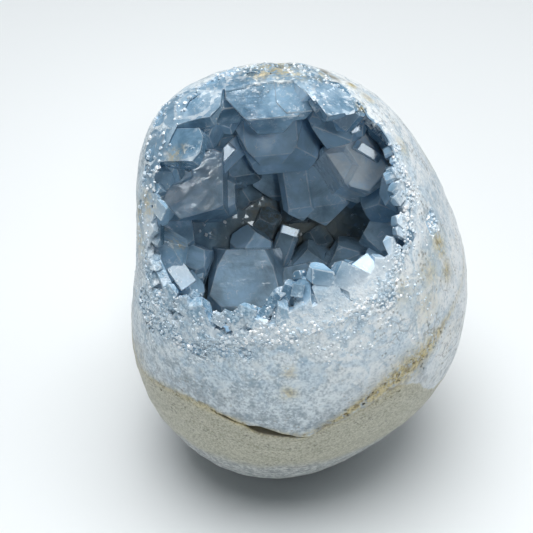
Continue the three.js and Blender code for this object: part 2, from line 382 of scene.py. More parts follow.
STAINS = [
    # place, width in millimetres, share
    ((-29.5, -18, 104.2), 1.6, 1),
    ((-27.8, -17.5, 105.6), 1.2, 0.8),
    ((-29.9, -17.4, 79), 2.2, 1),
    ((-36.5, -19, 91), 3.5, 0.7),
    ((-38.7, -15.4, 86.7), 2.5, 0.8),
    ((4.2, -0.6, 114.8), 1.4, 1),
    ((12, 2.3, 111.3), 1.5, 1),
    ((13.4, -6.6, 110.2), 1.5, 1),
    ((-9.5, -0.3, 116.2), 3, 0.9),
    ((-4, 1, 116), 3.2, 1),
    ((-0.5, -1, 115.9), 2.2, 0.8),
    ((-6.5, 21.5, 58), 4.5, 0.9),
    ((-9.7, 24, 60.2), 4, 0.6),
    ((0, 13, 60), 2, 0.7),
    ((-20, 17, 73), 5, 0.5),
    ((-33, -12, 76), 4, 0.5),
]
GROUND_LUMPS = [(14, 0.25), (4, 0.22), (2.6, 0.12)]  # what the polish left of the stone's own relief
GROUND_UNDER = 0.15
GROUND_FOOT = 10  # height below which the lumps fade, so that the stone stands flat


# ---- Directions and smooth forms ----


def direction(turn, lift):
    """The unit vector of a direction."""
    t, l = math.radians(turn), math.radians(lift)
    return np.array([math.sin(t) * math.cos(l), -math.cos(t) * math.cos(l), math.sin(l)])


def turn_and_lift(way):
    """The direction of a unit vector."""
    return math.degrees(math.atan2(way[0], -way[1])), math.degrees(math.asin(way[2]))


def unit(vector):
    """A vector made one long."""
    return vector / np.linalg.norm(vector)


def spread_out(count):
    """Unit vectors spread evenly over a ball."""
    i = np.arange(count)
    up = 1 - 2 * (i + 0.5) / count
    around = math.pi * (3 - math.sqrt(5)) * i
    level = np.sqrt(1 - up * up)
    return np.stack([level * np.cos(around), level * np.sin(around), up], axis=1)


def reach(form, d):
    """How far a form reaches from its centre in each unit direction of d."""
    r = 1 / np.linalg.norm(d / np.array(form["semi"]), axis=1)
    for toward, spread, rise in form["rises"]:
        angle = np.degrees(np.arccos(np.clip(d @ direction(*toward), -1, 1)))
        r = r + rise * np.exp(-((angle / spread) ** 2))
    return r


def surface(form, d):
    """The points of a form's surface in the unit directions of d."""
    return np.array(form["centre"]) + d * reach(form, d)[:, None]


def ways_out(form, points):
    """The unit vectors from a form's centre to each point, and how far each point is."""
    away = points - np.array(form["centre"])
    distance = np.linalg.norm(away, axis=1)
    return away / distance[:, None], distance


def depth_in(form, points):
    """How deep each point lies inside a form; negative outside."""
    ways, distance = ways_out(form, points)
    return reach(form, ways) - distance


def inward_normal(form, point):
    """Square to a form's surface at a point, towards its inside."""
    steps = np.concatenate([np.eye(3), -np.eye(3)])
    depth = depth_in(form, point + steps)
    return unit(depth[:3] - depth[3:])


# ---- Meshes ----


def object_of(name, data):
    """A new object at the origin that holds a mesh, a lamp or a camera."""
    obj = bpy.data.objects.new(name, data)
    bpy.context.scene.collection.objects.link(obj)
    return obj


def object_from(name, bm):
    """A new object that holds what a bmesh has, which is then freed."""
    mesh = bpy.data.meshes.new(name)
    bm.to_mesh(mesh)
    bm.free()
    return object_of(name, mesh)


def discard(obj):
    """Removes an object and its mesh."""
    mesh = obj.data
    bpy.data.objects.remove(obj)
    bpy.data.meshes.remove(mesh)


def swap_mesh(obj, mesh):
    """Gives an object another mesh, and removes the one that it had."""
    old, obj.data = obj.data, mesh
    bpy.data.meshes.remove(old)


def apply_modifiers(obj):
    """Makes what an object's modifiers show its own plain mesh."""
    depsgraph = bpy.context.evaluated_depsgraph_get()
    made = bpy.data.meshes.new_from_object(obj.evaluated_get(depsgraph))
    obj.modifiers.clear()
    swap_mesh(obj, made)


def form_object(name, form, subdivisions, grow=0.0):
    """A form as a closed mesh, grown or shrunk by some millimetres."""
    bm = bmesh.new()
    bmesh.ops.create_icosphere(bm, subdivisions=subdivisions, radius=1)
    d = np.array([v.co for v in bm.verts])
    d /= np.linalg.norm(d, axis=1)[:, None]
    points = d * (reach(form, d) + grow)[:, None] + np.array(form["centre"])
    for vertex, point in zip(bm.verts, points):
        vertex.co = Vector(point) * MM
    return object_from(name, bm)


def lumps(points, sizes):
    """How far lumpy ground rises at each point, for lumps of given widths and heights."""
    rise = np.zeros(len(points))
    for width, height in sizes:
        rise += height * np.array([noise.noise(Vector(p) / width) for p in points])
    return rise


def pocket_object(inward=0.0, extra=()):
    """The pocket's wall as a closed mesh, moved inwards by some millimetres, with extra lumps of its own."""
    obj = form_object("pocket", POCKET, SMOOTHNESS - 1)
    points = vertex_points(obj.data)
    rise = lumps(points, WALL_LUMPS) + lumps(points + EXTRA_SHIFT, extra) + inward
    set_points(obj.data, points - ways_out(POCKET, points)[0] * rise[:, None])
    return obj


def boolean(obj, operation, *others):
    """Joins other closed meshes to obj, or cuts it with them, and removes them."""
    for other in others:
        modifier = obj.modifiers.new(operation, "BOOLEAN")
        modifier.operation = operation
        modifier.solver = "MANIFOLD"
        modifier.object = other
    apply_modifiers(obj)
    for other in others:
        discard(other)
    return obj


def keep_largest(obj):
    """Leaves only the largest connected body of a mesh."""
    bm = bmesh.new()
    bm.from_mesh(obj.data)
    left = set(bm.verts)
    bodies = []
    while left:
        start = left.pop()
        body, edge = {start}, [start]
        while edge:
            vertex = edge.pop()
            for link in vertex.link_edges:
                other = link.other_vert(vertex)
                if other in left:
                    left.discard(other)
                    body.add(other)
                    edge.append(other)
        bodies.append(body)
    bodies.sort(key=len)
    for body in bodies[:-1]:
        bmesh.ops.delete(bm, geom=list(body), context="VERTS")
    bm.to_mesh(obj.data)
    bm.free()


def refine(obj, longest):
    """Splits a mesh's edges at their middles until none is longer than that many millimetres."""
    bm = bmesh.new()
    bm.from_mesh(obj.data)
    bmesh.ops.dissolve_degenerate(bm, dist=SAME * MM, edges=bm.edges)
    bmesh.ops.triangulate(bm, faces=bm.faces)
    points = np.array([v.co for v in bm.verts]) / MM
    faces = np.array([[v.index for v in f.verts] for f in bm.faces])
    bm.free()
    while True:
        sides = np.sort(np.stack([faces, np.roll(faces, -1, axis=1)], axis=2), axis=2)
        long = np.linalg.norm(points[sides[..., 0]] - points[sides[..., 1]], axis=2) > longest
        if not long.any():
            break
        split, which = np.unique(sides[long], axis=0, return_inverse=True)
        middle = np.zeros(faces.shape, int)
        middle[long] = len(points) + which.ravel()
        points = np.concatenate([points, points[split].mean(axis=1)])
        faces = split_faces(faces, middle, long)
    mesh = bpy.data.meshes.new(obj.name)
    mesh.from_pydata((points * MM).tolist(), [], faces.tolist())
    swap_mesh(obj, mesh)


def split_faces(faces, middle, long):
    """Triangles with new corners at the middles of their long sides, as two, three or four triangles."""
    count = long.sum(axis=1)
    made = [faces[count == 0]]
    for corner in range(3):
        turned = [np.roll(each, -corner, axis=1) for each in (faces, middle, long)]
        (a, b, c), (m, n, o), (first, _, third) = (each.T for each in turned)
        one = (count == 1) & first
        two = (count == 2) & ~third
        made += [np.stack(t, axis=1)[one] for t in ((m, b, c), (m, c, a))]
        made += [np.stack(t, axis=1)[two] for t in ((m, b, n), (a, m, n), (a, n, c))]
        if corner == 0:
            four = ((a, m, o), (m, b, n), (o, n, c), (m, n, o))
            made += [np.stack(t, axis=1)[count == 3] for t in four]
    return np.concatenate(made)


def vertex_points(mesh):
    """A mesh's vertices in millimetres."""
    co = np.empty(len(mesh.vertices) * 3)
    mesh.vertices.foreach_get("co", co)
    return co.reshape(-1, 3) / MM


def set_points(mesh, points):
    """Moves a mesh's vertices to points in millimetres."""
    mesh.vertices.foreach_set("co", (points * MM).ravel())
    mesh.update()


def add_attribute(mesh, name, values):
    """Keeps one number for each vertex, which a material can read."""
    attribute = mesh.attributes.new(name, "FLOAT", "POINT")
    attribute.data.foreach_set("value", np.asarray(values, np.float32))


# ---- Crystals ----


def crystal_axes(c):
    """A crystal's growth, width and depth axes."""
    a = direction(*c["growth"])
    level = direction(c["growth"][0] + 90, 0)
    steep = np.cross(a, level)
    t = math.radians(c["twist"])
    b = level * math.cos(t) + steep * math.sin(t)
    return np.array([a, b, np.cross(a, b)])


def crystal_planes(c):
    """A crystal's faces: outward normals, and their offsets from the origin."""
    width, depth, length = c["size"]
    ridge = c["ridge"]
    slope_foot = -SLOPE[1] / SLOPE[0] * (depth - ridge) / 2
    shoulder = SHOULDER[0] * slope_foot + SHOULDER[1] * depth / 2 - SHOULDER_TRIM * depth
    edge = (BEVEL[0] * width + BEVEL[1] * depth) / 2 - c["bevel"] * min(width, depth)
    faces = [(-1, 0, 0, length)]
    for side in (1, -1):
        faces.append((ROOF[0], side * ROOF[1], 0, 0))
        faces.append((SLOPE[0], 0, side * SLOPE[1], SLOPE[1] * ridge / 2))
        faces.append((0, 0, side, depth / 2))
        faces.append((0, side, 0, width / 2))
        if not c["plain"]:
            faces.append((SHOULDER[0], 0, side * SHOULDER[1], shoulder))
            faces.append((0, side * BEVEL[0], BEVEL[1], edge))
            faces.append((0, side * BEVEL[0], -BEVEL[1], edge))
    faces = np.array(faces)
    normals = faces[:, :3] @ crystal_axes(c)
    offsets = faces[:, 3] + normals @ np.array(c["head"])
    if c["cleave"]:
        look = direction(*c["look"])
        top = (corners_of(normals, offsets) @ look).max()
        normals = np.vstack([normals, look])
        offsets = np.append(offsets, top - c["cleave"])
    return normals, offsets


def corners_of(normals, offsets):
    """The corners of the body between planes."""
    trios = np.array(list(itertools.combinations(range(len(normals)), 3)))
    trios = trios[np.abs(np.linalg.det(normals[trios])) > 1e-3]
    points = np.linalg.solve(normals[trios], offsets[trios][..., None])[..., 0]
    return points[(points @ normals.T - offsets).max(axis=1) < 1e-4]


def distance_out(planes, point):
    """How far outside a crystal a point is; negative inside."""
    normals, offsets = planes
    return (normals @ point - offsets).max()


def crystal_object(c, edge=0.0, grow=0.0):
    """A crystal as a closed mesh, its edges worn flat, grown or shrunk by some millimetres."""
    normals, offsets = crystal_planes(c)
    bm = bmesh.new()
    for p in corners_of(normals, offsets + grow):
        bm.verts.new(Vector(p) * MM)
    bmesh.ops.remove_doubles(bm, verts=bm.verts, dist=SAME * MM)
    bmesh.ops.convex_hull(bm, input=bm.verts)
    bmesh.ops.delete(bm, geom=[v for v in bm.verts if not v.link_faces], context="VERTS")
    bmesh.ops.dissolve_limit(bm, angle_limit=math.radians(1), verts=bm.verts, edges=bm.edges)
    if edge:
        bmesh.ops.bevel(
            bm, geom=bm.edges, offset=edge * MM, offset_type="OFFSET", segments=1, profile=0.5,
            affect="EDGES", clamp_overlap=True,
        )
    bmesh.ops.recalc_face_normals(bm, faces=bm.faces)
    return object_from("crystal", bm)


def apart(box, other):
    """Whether two boxes, each its low and high corner, don't touch."""
    return (box[1] < other[0]).any() or (box[0] > other[1]).any()


def crystal_batches(crystals, edge):
    """Crystals as few meshes, in none of which two crystals touch."""
    batches = []
    for c in crystals:
        obj = crystal_object(c, edge)
        points = vertex_points(obj.data)
        box = points.min(axis=0) - BATCH_GAP, points.max(axis=0) + BATCH_GAP
        for batch in batches:
            if all(apart(box, other) for _, other in batch):
                batch.append((obj, box))
                break
        else:
            batches.append([(obj, box)])
    made = []
    for batch in batches:
        bm = bmesh.new()
        for obj, _ in batch:
            bm.from_mesh(obj.data)
            discard(obj)
        made.append(object_from("crystals", bm))
    return made


def random_from(seed):
    """A small seeded random number generator, from 0 to 1."""
    state = seed
    while True:
        state = (state * 1664525 + 1013904223) % 4294967296
        yield state / 4294967296


def between(low_high, t):
    """What lies a share t of the way from low to high."""
    low, high = low_high
    return low + (high - low) * t


def leaning(way, r, lean):
    """A way turned a little to a side, as three random numbers say."""
    return unit(way + (np.array(r) - 0.5) * 2 * lean)


def at_front(points, lip):
    """How far each point is in the front of the pocket's rim, from 0 to 1, by a lip's height and depth."""
    below, height = lip["below"]
    before, depth = lip["before"]
    return np.clip((below - points[:, 2]) / height, 0, 1) * np.clip((before - points[:, 1]) / depth, 0, 1)


def small_crystals():
    """The smaller crystals between the main ones, spread evenly over the pocket's wall."""
    random = random_from(SMALL["seed"])
    main_planes = [crystal_planes(c) for c in MAIN_CRYSTALS]
    recess = direction(*RECESS["toward"])
    made = []
    for i, d in enumerate(spread_out(SMALL["places"])):
        r = [next(random) for _ in range(8)]
        foot = surface(POCKET, d[None])[0]
        if i in SMALL["bare"] or depth_in(STONE, foot[None])[0] < SMALL["cover"]:
            continue
        normal = inward_normal(POCKET, foot)
        growth = leaning(normal, r[:3], SMALL["lean"])
        lip = at_front(foot[None], LIP)[0]
        width = between(SMALL["width"], r[3]) * between((1, LIP["width"]), lip)
        stand = between(SMALL["stand"], r[4]) * between((1, LIP["stand"]), lip)
        if math.degrees(math.acos(np.clip(d @ recess, -1, 1))) < RECESS["spread"]:
            stand *= RECESS["stand"]
        head = foot + normal * stand
        if any(distance_out(planes, head) < SMALL["clear"] for planes in main_planes):
            continue
        size = (width, width * between(SMALL["depth"], r[6]), stand + SMALL["root"])
        ridge = width * between(SMALL["ridge"], r[7])
        tone = between(SMALL["tone"], r[5]) + LIP["tone"] * lip
        made.append(crystal(head, turn_and_lift(growth), 180 * r[5], size, ridge, tone, plain=True))
    return made


def from_cleaved(points):
    """How far each point is from the nearest cleaved face and the way before it, as a share of its size."""
    out = direction(*GLINT_WAY)
    ways = []
    for middle, _, size, _, _ in CLEAVED:
        away = points - np.array(middle)
        away -= np.maximum(away @ out, 0)[:, None] * out
        ways.append(np.linalg.norm(away, axis=1) / max(size))
    return np.min(ways, axis=0)


def lip_fill(points):
    """How far in from the pocket's edge the lip crystals fill it, at each point of the polish."""
    x, _, z = points.T
    edge, top = LIP_GROWTH["left"]
    left = (x < edge) & (z < top)
    edge, foot, top = LIP_GROWTH["right"]
    right = (x > edge) & (z > foot) & (z < top)
    front = at_front(points, LIP_GROWTH) * np.interp(x, *zip(*LIP_GROWTH["front"]))
    return np.maximum(front, (left | right) * LIP_GROWTH["side"])


def lip_crystals():
    """Small crystals that fill the pocket's rim up to near the polish."""
    g = LIP_GROWTH
    random = random_from(g["seed"])
    outward = spread_out(round(STONE_SKIN / g["apart"] ** 2))
    polish = surface(STONE, outward)
    sparse_from, left_out = g["sparse"]
    made = []
    for d, point, inside, most in zip(outward, polish, depth_in(POCKET, polish), lip_fill(polish)):
        if not g["rim"] < inside < most or (inside > sparse_from and next(random) < left_out):
            continue
        r = [next(random) for _ in range(9)]
        head = point - d * (g["under"] + between(g["slope"], r[2]) * inside + 0.8 * r[3])
        room = depth_in(POCKET, head[None])[0]
        if room < g["room"] or from_cleaved(head[None])[0] < g["clear"]:
            continue
        growth = leaning(inward_normal(POCKET, head) + g["out"] * d, r[4:7], g["lean"])
        width = between(g["width"], r[7] ** 1.5) * (1 + inside / 16)
        size = (width, width * between(g["depth"], r[8]), room * 1.3 + 3)
        ridge = width * between(g["ridge"], r[2])
        tone = between(g["tone"], r[5])
        made.append(crystal(head, turn_and_lift(growth), 180 * r[6], size, ridge, tone, plain=True))
    return made


def side_growths(c, random):
    """Two smaller crystals grown against a main one, their faces along its own."""
    g = SIDE_GROWTH
    a, b, across = crystal_axes(c)
    width, depth, length = c["size"]
    made = []
    for side in (1, -1):
        r = [next(random) for _ in range(7)]
        share, part = between(g["width"], r[0]), between(g["depth"], r[1])
        wide = side * width * (0.5 - share / 2 + between(g["proud"], r[2]))
        deep = math.copysign(depth * (0.5 - part / 2 + between(g["proud"], r[3])), r[4] - 0.5)
        head = np.array(c["head"]) - a * between(g["lower"], r[5]) + b * wide + across * deep
        size = (width * share, depth * part, length)
        tone = c["tone"] + between(g["tone"], r[6])
        made.append(crystal(head, c["growth"], c["twist"], size, c["ridge"] * share, tone, plain=c["plain"]))
    return made


def cleaved_block(head, look, size, twist, tone):
    """A small block with a flat cleaved top, by the middle of that face and the way it looks."""
    ridge = 0.5 * size[1]
    crown = min(size) * 0.8
    return crystal(
        np.array(head) + direction(*look) * crown, look, twist, (*size, crown + 5), ridge, tone,
        plain=True, cleave=crown, look=look,
    )


def cut_crystal(place, twist, size, tone, recess=False):
    """A crystal that points inwards from its cut face, or the recess that it stands in."""
    point = surface(STONE, direction(*place)[None])[0]
    random = random_from(int(1000 + 37 * place[0] + 11 * place[1]))
    r = [next(random) for _ in range(8)][4:]
    inward = leaning(inward_normal(STONE, point), r[:3], CUT_LEAN)
    room = min(CUT_ROOM, 1.6 * min(size))
    length = room + (RECESS_OUT if recess else -between(CUT_UNDER, r[3]))
    head = point + inward * room
    return crystal(head, turn_and_lift(inward), twist, (*size, length), size[0] / 2, tone)


# ---- The pieces ----


def stone_egg(grow=0.0):
    """The egg as ground, cut flat where it stands."""
    egg = form_object("egg", STONE, SMOOTHNESS, grow)
    points = vertex_points(egg.data)
    points[:, 2] = np.maximum(points[:, 2], 0)
    set_points(egg.data, points)
    return egg


def along(course, turn):
    """The value that a course of (turn, value) pairs has at each turn."""
    turns, values = zip(*course)
    return np.interp(turn, turns, values)


def about_seam(points):
    """How many millimetres each point lies above the seam, and the vein's share there."""
    ways, distance = ways_out(STONE, points)
    turn = np.degrees(np.arctan2(ways[:, 0], -ways[:, 1]))
    lift = np.degrees(np.arcsin(ways[:, 2]))
    middle, width, share = vein_at(turn)
    across = np.radians(lift - middle) * distance / width
    return np.radians(lift - along(SEAM, turn)) * distance, share * np.exp(-(across ** 2))


def vein_at(turn):
    """The vein's lift, half width and share at a turn."""
    return [along([(row[0], row[i]) for row in VEIN], turn) for i in (1, 2, 3)]


def worn(points):
    """How far the rough top lies under the polish."""
    ways, _ = ways_out(STONE, points)
    angle = np.degrees(np.arccos(np.clip(ways @ direction(*WORN["toward"]), -1, 1)))
    share = np.exp(-((angle / WORN["spread"]) ** 4))
    return share * np.maximum(WORN["depth"] + lumps(points, WORN["lumps"]), 0)


def surface_points(places):
    """The points of the egg in given directions, and the ways out of it there."""
    points = surface(STONE, np.array([direction(*place) for place in places]))
    return points, np.array([-inward_normal(STONE, point) for point in points])


def crack_object():
    """The open crack in the seam, as the wedge to cut from the stone."""
    places, widths, depths = zip(*CRACK)
    points, outward = surface_points(places)
    ahead = np.gradient(points, axis=0)
    ahead /= np.linalg.norm(ahead, axis=1)[:, None]
    side = np.cross(outward, ahead)
    bm = bmesh.new()
    rows = []
    for p, out, across, width, depth in zip(points, outward, side, widths, depths):
        corners = (p + out + across * width, p + out - across * width, p - out * depth)
        rows.append([bm.verts.new(Vector(c) * MM) for c in corners])
    for row, after in zip(rows, rows[1:]):
        for i in range(3):
            j = (i + 1) % 3
            bm.faces.new((row[i], row[j], after[j], after[i]))
    bm.faces.new(rows[0][::-1])
    bm.faces.new(rows[-1])
    bmesh.ops.triangulate(bm, faces=bm.faces)
    bmesh.ops.recalc_face_normals(bm, faces=bm.faces)
    return object_from("crack", bm)


def pits_object():
    """Small pits along the ochre vein and round the crack, as the blobs to cut from the stone."""
    random = np.random.default_rng(PITS["seed"])
    bm = bmesh.new()
    for _ in range(PITS["count"]):
        turns = PITS["main"] if random.random() < PITS["main_share"] else PITS["rest"]
        turn = random.uniform(*turns)
        middle, width, _ = vein_at(turn)
        lift = float(middle + random.normal() * PITS["spread"] * width)
        (point,), (outward,) = surface_points([(turn, lift)])
        size = random.uniform(*PITS["size"])
        middle = point + outward * size * 0.2
        blob = bmesh.ops.create_icosphere(bm, subdivisions=1, radius=1)["verts"]
        stretch = random.uniform(*PITS["stretch"], 3)
        for vertex in blob:
            vertex.co = Vector(middle + np.array(vertex.co) * stretch * size) * MM
    return object_from("pits", bm)


def ochre_at(points):
    """How much ochre the spots and stains lay on each point, from 0 to 1."""
    middles, _ = surface_points([place for place, _, _ in OCHRE_SPOTS])
    spots = [(middle, width, share) for middle, (_, width, share) in zip(middles, OCHRE_SPOTS)]
    most = np.zeros(len(points))
    for middle, width, share in [*spots, *STAINS]:
        away = np.linalg.norm(points - np.array(middle), axis=1)
        most = np.maximum(most, share * np.exp(-((away / width) ** 2)))
    return most


def make_stone():
    """The stone, with the pocket, the cut crystals' recesses, the crack and the pits cut from it."""
    egg = stone_egg()
    points = vertex_points(egg.data)
    ways, _ = ways_out(STONE, points)
    rise = lumps(points, GROUND_LUMPS) * np.clip(points[:, 2] / GROUND_FOOT, 0, 1) - worn(points)
    set_points(egg.data, points + ways * (rise - GROUND_UNDER)[:, None])
    recesses = [crystal_object(cut_crystal(*row, recess=True), grow=-SINK) for row in CUT]
    stone = boolean(egg, "DIFFERENCE", pocket_object(), *recesses, crack_object(), pits_object())
    stone.name = stone.data.name = "polished_stone"
    points = vertex_points(stone.data)
    height, vein = about_seam(points)
    add_attribute(stone.data, "seam_height", height)
    add_attribute(stone.data, "vein", vein)
    add_attribute(stone.data, "ochre", ochre_at(points))
    add_attribute(stone.data, "depth", depth_in(STONE, points))
    add_attribute(stone.data, "from_pocket", -depth_in(POCKET, points))
    stone.data.set_sharp_from_angle(angle=math.radians(STONE_CREASE))
    return stone


def mark_faces(mesh, crystals):
    """Keeps on each face the tone and growth of the crystal that it belongs to, and what is worn edge."""
    count = len(mesh.polygons)
    middles = np.empty(count * 3)
    mesh.polygons.foreach_get("center", middles)
    middles = middles.reshape(-1, 3) / MM
    tone, facet, edge = np.full(count, BED_TONE), np.zeros(count), np.zeros(count)
    growth = np.tile((0.0, 0.0, 1.0), (count, 1))
    best = np.full(count, -FACE_REACH)
    random = np.random.default_rng(FACET_SEED)
    for c in crystals:
        planes, offsets = crystal_planes(c)
        out = middles @ planes.T - offsets
        which, far = out.argmax(axis=1), out.max(axis=1)
        own = (far > best) & (far < ON_FACE)
        best[own] = far[own]
        tone[own] = c["tone"]
        growth[own] = direction(*c["growth"])
        facet[own] = random.uniform(-1, 1, len(planes))[which[own]]
        edge[own] = far[own] < -ON_FACE
    for name, values in (("tone", tone), ("facet", facet), ("edge", edge)):
        attribute = mesh.attributes.new(name, "FLOAT", "FACE")
        attribute.data.foreach_set("value", values.astype(np.float32))
    attribute = mesh.attributes.new("growth", "FLOAT_VECTOR", "FACE")
    attribute.data.foreach_set("vector", growth.astype(np.float32).ravel())


def make_crust():
    """The crust of crystals on the pocket's wall, ground off with the stone."""
    random = random_from(SIDE_GROWTH["seed"])
    main = list(MAIN_CRYSTALS)
    for c in MAIN_CRYSTALS:
        against = side_growths(c, random)
        main += [] if c["alone"] else against
    main += [cleaved_block(*row) for row in CLEAVED]
    small = small_crystals() + lip_crystals()
    cut = [cut_crystal(*row) for row in CUT]
    crust = pocket_object(-SINK)
    crust.name = "crystal_blocks"
    boolean(crust, "DIFFERENCE", pocket_object(BED, BED_LUMPS))
    boolean(crust, "UNION", *crystal_batches(main, MAIN_EDGE), *crystal_batches(small, SMALL_EDGE))
    boolean(crust, "INTERSECT", pocket_object(-SINK))
    boolean(crust, "UNION", *crystal_batches(cut, SMALL_EDGE))
    polish = stone_egg(-FLUSH)
    points = vertex_points(polish.data)
    set_points(polish.data, points - ways_out(STONE, points)[0] * worn(points)[:, None])
    boolean(crust, "INTERSECT", polish)
    keep_largest(crust)
    refine(crust, FINENESS)
    points = vertex_points(crust.data)
    add_attribute(crust.data, "stand", depth_in(POCKET, points))
    add_attribute(crust.data, "depth", depth_in(STONE, points) - worn(points))
    add_attribute(crust.data, "ochre", ochre_at(points))
    mark_faces(crust.data, [*cut, *main, *small])
    crust.data.set_sharp_from_angle(angle=math.radians(CRYSTAL_CREASE))
    return crust


# ---- The sugar of tiny crystals ----

SUGAR = {"Apart": 0.46, "Density": 2.0, "Smallest": 0.3, "Largest": 1.05, "Lean": 0.6, "Seed": 4}
SUGAR_PROUD = 0.3  # how far the tiny crystals may stand out of the polish
SUGAR_UNDER = 0.35  # how far under the polish those on the stone grow from
SUGAR_LEAST = 0.02  # the share under which there are none
SUGAR_GROUND = {
    "deep": 15,  # how far under the polish they still grow
    "thick": 7,  # and how far they are thick at the front
    "right": (8, 10),  # the x that the right side starts from, and how far it takes
    "reach": (1.2, 5.5, 2),  # how far they reach over the polish: everywhere, more at the front and the right
    "dust": [(3.5, 2.2)],  # the lumps that the dust on the crystals and the patches on the polish follow
    "patches": [(5, 1.6)],
}
GRAIN = {"size": (0.9, 0.75, 1.4), "ridge": 0.4, "head": 0.75}  # a tiny crystal, and how high its head is


def triangles(mesh):
    """A mesh's vertices in millimetres and its triangles."""
    mesh.calc_loop_triangles()
    corners = np.empty(len(mesh.loop_triangles) * 3, np.int32)
    mesh.loop_triangles.foreach_get("vertices", corners)
    return vertex_points(mesh), corners.reshape(-1, 3)


def sugar_ground(crust):
    """The crust and the polish near the rim, with the tiny crystals' share and size at each point."""
    skin_object = stone_egg(-SUGAR_UNDER)
    skin, skin_faces = triangles(skin_object.data)
    discard(skin_object)
    grown, grown_faces = triangles(crust.data)
    points = np.concatenate([grown, skin])
    faces = np.concatenate([grown_faces, skin_faces + len(grown)])
    on_skin = np.arange(len(points)) >= len(grown)
    under, inside = depth_in(STONE, points), depth_in(POCKET, points)
    near = np.clip(1 - under / SUGAR_GROUND["deep"], 0, 1)
    low = at_front(points, SUGAR_LIP)
    lip = low * np.clip(1 - under / SUGAR_GROUND["thick"], 0, 1)
    start, width = SUGAR_GROUND["right"]
    right = np.clip((points[:, 0] - start) / width, 0, 1)

    # on the crust: thick between the crystals, and dusted over their faces
    bed = np.clip(1.9 - inside / 0.5, 0, 1)
    in_bed = 0.08 + near * (0.12 + 0.8 * np.maximum(low, 0.7 * right))
    spread = lumps(points, SUGAR_GROUND["dust"])
    dust = near * np.clip(spread - 0.25, 0, 1) * (0.1 + 0.3 * low)
    dust += 0.9 * lip * np.clip(spread + 0.5, 0, 1)
    on_crust = bed * in_bed + (1 - bed) * dust

    # on the polish: in patches, thinning out away from the pocket
    everywhere, front, side = SUGAR_GROUND["reach"]
    thin = np.clip(1 + inside / (everywhere + front * low + side * right), 0, 1) ** 1.5
    patch = np.clip(lumps(points, SUGAR_GROUND["patches"]) + 0.5, 0, 1)
    on_polish = thin * patch * (inside < 0.5) * (0.12 + 0.88 * np.maximum(low, right))

    # none on the cleaved faces or before them
    share = np.where(on_skin, on_polish, on_crust) * np.clip(3 * from_cleaved(points) - 1.5, 0, 1)
    coarse = np.where(on_skin, 0.55 + 0.35 * on_polish, 0.45 + 0.55 * np.maximum(bed, lip))
    faces = faces[share[faces].max(axis=1) > SUGAR_LEAST]
    mesh = bpy.data.meshes.new("sugar_crystals")
    mesh.from_pydata((points * MM).tolist(), [], faces.tolist())
    add_attribute(mesh, "share", share)
    add_attribute(mesh, "coarse", coarse)
    return object_of("sugar_crystals", mesh)


def sugar_tree(grain, material):
    """Geometry Nodes that scatter one grain over a ground by its share."""
    tree = bpy.data.node_groups.new("sugar", "GeometryNodeTree")
    inputs = {"Ground": "Geometry", "Apart": "Float", "Density": "Float", "Smallest": "Float",
              "Largest": "Float", "Lean": "Float", "Seed": "Int", "Grain": "Object", "Finish": "Material"}
    for name, kind in inputs.items():
        tree.interface.new_socket(name, in_out="INPUT", socket_type="NodeSocket" + kind)
    tree.interface.new_socket("Sugar", in_out="OUTPUT", socket_type="NodeSocketGeometry")

    def node(kind, links, **settings):
        """Adds one node, its inputs set or joined."""
        made = tree.nodes.new(kind)
        for name, value in settings.items():
            setattr(made, name, value)
        for name, value in links.items():
            if isinstance(value, bpy.types.NodeSocket):
                tree.links.new(value, made.inputs[name])
            else:
                made.inputs[name].default_value = value
        return made

    def kept(name):
        """A number kept on the ground's vertices."""
        made = node("GeometryNodeInputNamedAttribute", {"Name": name}, data_type="FLOAT")
        return made.outputs["Attribute"]

    def random(low, high, seed, kind):
        """A random value for each grain."""
        inputs = {"Min": low, "Max": high, "Seed": seed}
        return node("FunctionNodeRandomValue", inputs, data_type=kind).outputs

    given = node("NodeGroupInput", {}).outputs
    points = node("GeometryNodeDistributePointsOnFaces", {
        "Mesh": given["Ground"], "Distance Min": given["Apart"], "Density Max": given["Density"],
        "Density Factor": kept("share"), "Seed": given["Seed"],
    }, distribute_method="POISSON")
    less = node("ShaderNodeMath", {0: given["Lean"], 1: -1.0}, operation="MULTIPLY").outputs[0]
    lean = random(less, given["Lean"], 1, "FLOAT_VECTOR")["Value"]
    spin = random((0, 0, 0), (0, 0, 3.14), 2, "FLOAT_VECTOR")["Value"]
    turn = node("ShaderNodeVectorMath", {0: lean, 1: spin}, operation="ADD")
    rotation = node("FunctionNodeRotateRotation", {
        "Rotation": points.outputs["Rotation"],
        "Rotate By": node("FunctionNodeEulerToRotation", {0: turn.outputs[0]}).outputs[0],
    }, rotation_space="LOCAL")
    size = random(given["Smallest"], given["Largest"], 3, "FLOAT")[1]
    scale = node("ShaderNodeMath", {0: size, 1: kept("coarse")}, operation="MULTIPLY")
    placed = node("GeometryNodeInstanceOnPoints", {
        "Points": points.outputs["Points"],
        "Instance": node("GeometryNodeObjectInfo", {"Object": given["Grain"]}).outputs["Geometry"],
        "Rotation": rotation.outputs[0], "Scale": scale.outputs[0],
    })
    toned = node("GeometryNodeStoreNamedAttribute", {
        "Geometry": placed.outputs[0], "Name": "tone", "Value": random(0.0, 1.0, 5, "FLOAT")[1],
    }, data_type="FLOAT", domain="INSTANCE")
    real = node("GeometryNodeRealizeInstances", {"Geometry": toned.outputs[0]})
    coated = node("GeometryNodeSetMaterial", {"Geometry": real.outputs[0], "Material": given["Finish"]})
    node("NodeGroupOutput", {0: coated.outputs[0]})
    values = {**SUGAR, "Apart": SUGAR["Apart"] * MM, "Density": SUGAR["Density"] / MM ** 2}
    return tree, {**values, "Grain": grain, "Finish": material}


